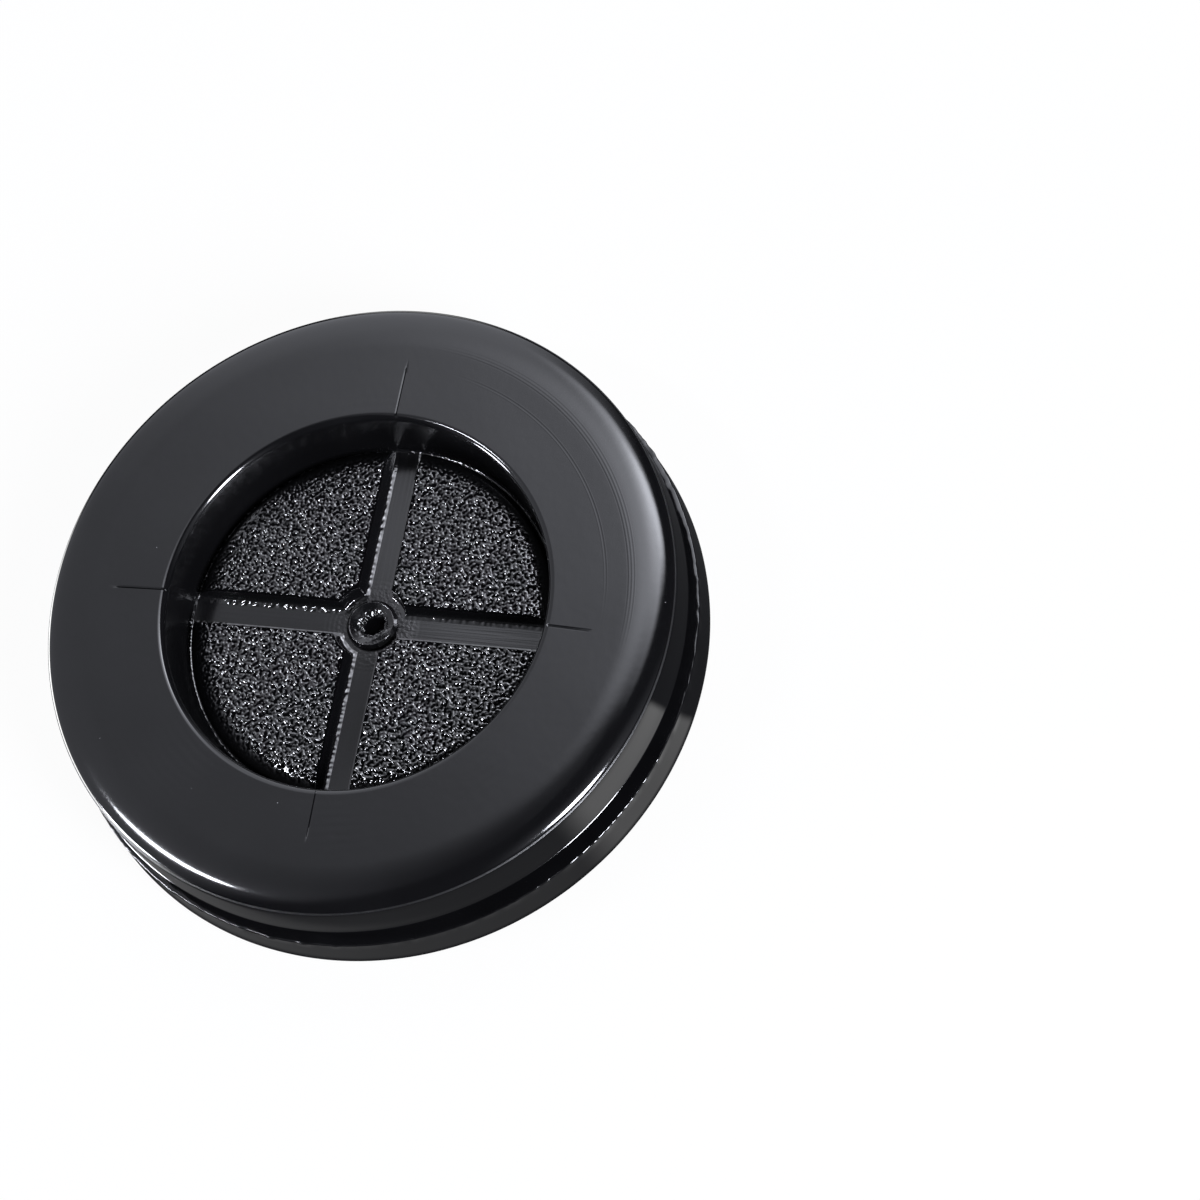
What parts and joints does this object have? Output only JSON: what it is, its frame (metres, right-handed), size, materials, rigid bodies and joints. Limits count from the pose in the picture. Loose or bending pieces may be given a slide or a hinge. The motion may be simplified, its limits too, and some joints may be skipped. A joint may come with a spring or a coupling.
{
  "type": "desk grommet",
  "caption": "Round rubber panel grommet with two flanges, a groove that grips the panel edge and a closed membrane to be cut along cross channels for cables.",
  "frame": {"origin": "centre of the base, the lower flange's bottom face, on the axis of the grommet", "axes": "+Z along the axis, from the base towards the top face; the channels of the membrane run along X and Y, and -Y is called the front"},
  "size_m": [0.0514, 0.0514, 0.01],
  "materials": {
    "rubber_smooth": "glossy as moulded, black",
    "rubber_textured": "glossy pebble texture, black"
  },
  "bodies": {
    "root": {"top_flange": "rubber_smooth", "neck": "rubber_smooth", "lower_flange": "rubber_smooth", "membrane": "rubber_smooth", "pad_front_right": "rubber_textured", "pad_back_right": "rubber_textured", "pad_back_left": "rubber_textured", "pad_front_left": "rubber_textured", "gate_mark": "rubber_smooth"}
  },
  "joints": []
}
